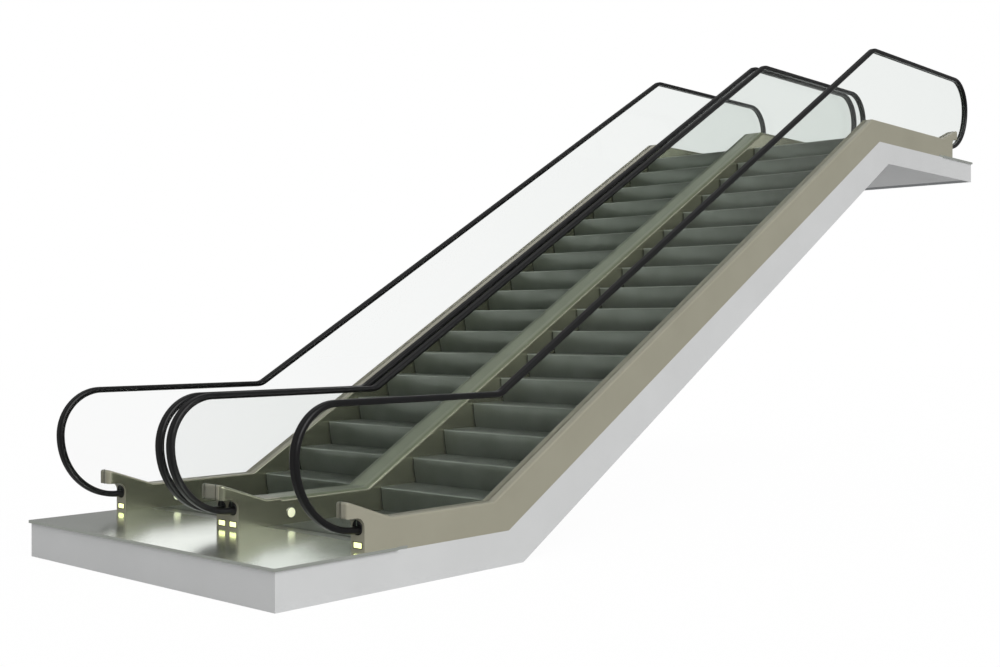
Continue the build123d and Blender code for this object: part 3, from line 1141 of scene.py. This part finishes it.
@dataclass
class Studio:
    """Floor, light and camera."""

    floor_half: float = 60000.0
    floor_drop: float = 1.0
    floor_colour: str = "E0E0E0"
    floor_white: float = 1.02
    floor_white_share: float = 0.94
    sky_light: float = 0.56
    mirror_light: float = 0.25
    key_light: float = 1.66
    key_angle: float = 50.0
    key_direction: Point = (0.42, -0.13, 0.35)
    camera_place_m: Point = (8.5003, -6.6689, 1.9086)
    camera_pitch: float = 89.868
    camera_heading: float = 41.833
    focal_length: float = 45.90
    sensor_width: float = 36.0
    view_end_m: float = 200.0

    def seen_directly(self, tree: bpy.types.NodeTree) -> bpy.types.NodeSocket:
        """Mask of rays that see their goal straight on or through glass, without lighting anything.

        Args:
            tree: Node tree that takes the nodes.

        Returns:
            Output that is 1 for such rays and 0 for all others.
        """
        path = add_node(tree, "ShaderNodeLightPath")
        no_light = add_node(
            tree,
            "ShaderNodeMath",
            settings={"operation": "LESS_THAN"},
            sockets={0: path.outputs["Diffuse Depth"], 1: 0.5},
        )
        through = add_node(
            tree,
            "ShaderNodeMath",
            settings={"operation": "MULTIPLY"},
            sockets={0: path.outputs["Is Transmission Ray"], 1: no_light.outputs[0]},
        )
        return add_node(
            tree,
            "ShaderNodeMath",
            settings={"operation": "MAXIMUM"},
            sockets={0: path.outputs["Is Camera Ray"], 1: through.outputs[0]},
        ).outputs[0]

    def mirrored(self, tree: bpy.types.NodeTree) -> bpy.types.NodeSocket:
        """Mask of rays that come from a glossy surface without glass on their way.

        Args:
            tree: Node tree that takes the nodes.

        Returns:
            Output that is 1 for such rays and 0 for all others.
        """
        path = add_node(tree, "ShaderNodeLightPath")
        return add_node(
            tree,
            "ShaderNodeMath",
            settings={"operation": "SUBTRACT", "use_clamp": True},
            sockets={0: path.outputs["Is Glossy Ray"], 1: path.outputs["Is Transmission Ray"]},
        ).outputs[0]

    def paint_floor(self) -> bpy.types.Material:
        """Pale paint that takes shadows, near white to the camera and grey in mirrors.

        Returns:
            The material.
        """
        made = bpy.data.materials.new("studio_floor_paint")
        made.use_nodes = True
        tree = made.node_tree
        tree.nodes.clear()
        paint = add_node(tree, "ShaderNodeBsdfDiffuse", sockets={"Color": linear(self.floor_colour)})
        glow = add_node(tree, "ShaderNodeEmission", sockets={"Color": WHITE, "Strength": self.floor_white})
        share = add_node(
            tree,
            "ShaderNodeMath",
            settings={"operation": "MULTIPLY"},
            sockets={0: self.seen_directly(tree), 1: self.floor_white_share},
        )
        grey = add_node(tree, "ShaderNodeEmission", sockets={"Color": WHITE, "Strength": self.mirror_light})
        lit = add_node(
            tree,
            "ShaderNodeMixShader",
            sockets={0: self.mirrored(tree), 1: paint.outputs["BSDF"], 2: grey.outputs["Emission"]},
        )
        mixed = add_node(
            tree,
            "ShaderNodeMixShader",
            sockets={0: share.outputs[0], 1: lit.outputs["Shader"], 2: glow.outputs["Emission"]},
        )
        add_node(tree, "ShaderNodeOutputMaterial", sockets={"Surface": mixed.outputs["Shader"]})
        return made

    def build_floor(self) -> None:
        """Pale floor that keeps the object's shadow."""
        half, z = self.floor_half, -self.floor_drop
        draft = MeshDraft()
        draft.add([(-half, -half, z), (half, -half, z), (half, half, z), (-half, half, z)], [(0, 1, 2, 3)])
        floor = draft.piece("studio_floor")
        floor.data.materials.append(self.paint_floor())

    def build_sky(self) -> None:
        """White behind the object and its glass, grey in mirrors, and softer as a light."""
        world = bpy.data.worlds.new("studio_sky")
        bpy.context.scene.world = world
        world.use_nodes = True
        tree = world.node_tree
        tree.nodes.clear()
        indirect = add_node(
            tree,
            "ShaderNodeMapRange",
            sockets={"Value": self.mirrored(tree), "To Min": self.sky_light, "To Max": self.mirror_light},
        )
        strength = add_node(
            tree,
            "ShaderNodeMapRange",
            sockets={"Value": self.seen_directly(tree), "To Min": indirect.outputs["Result"], "To Max": 1.0},
        )
        sky = add_node(
            tree, "ShaderNodeBackground", sockets={"Color": WHITE, "Strength": strength.outputs["Result"]}
        )
        add_node(tree, "ShaderNodeOutputWorld", sockets={"Surface": sky.outputs["Background"]})

    def build_key(self) -> None:
        """One broad, soft light from the right and above."""
        lamp = bpy.data.lights.new("studio_key", "SUN")
        lamp.energy = self.key_light
        lamp.angle = math.radians(self.key_angle)
        made = bpy.data.objects.new("studio_key", lamp)
        made.rotation_euler = Vector(self.key_direction).to_track_quat("Z", "Y").to_euler()
        bpy.context.scene.collection.objects.link(made)

    def build_camera(self) -> None:
        """Camera at the photograph's viewing angle."""
        lens = bpy.data.cameras.new("studio_camera")
        lens.lens = self.focal_length
        lens.sensor_width = self.sensor_width
        lens.clip_end = self.view_end_m
        made = bpy.data.objects.new("studio_camera", lens)
        made.location = self.camera_place_m
        made.rotation_euler = (math.radians(self.camera_pitch), 0.0, math.radians(self.camera_heading))
        bpy.context.scene.collection.objects.link(made)
        bpy.context.scene.camera = made

    def build(self) -> None:
        """Set up the whole studio."""
        bpy.context.scene.view_settings.view_transform = "Standard"
        self.build_floor()
        self.build_sky()
        self.build_key()
        self.build_camera()


def main() -> None:
    """Load the CAD frame, dress it and set up the studio."""
    logging.basicConfig(level=logging.INFO, format="%(message)s")
    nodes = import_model()["nodes"]
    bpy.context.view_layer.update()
    Truss(nodes).dress()
    LandingPlates(nodes).dress()
    balustrades = Balustrades(nodes)
    balustrades.dress()
    balustrades.build()
    for side in Side:
        StepBand(side).build()
    for landing in Landing:
        CombPlates(landing).build()
        LampsAndInlets(landing).build()
    Studio().build()


if __name__ == "__main__":
    main()
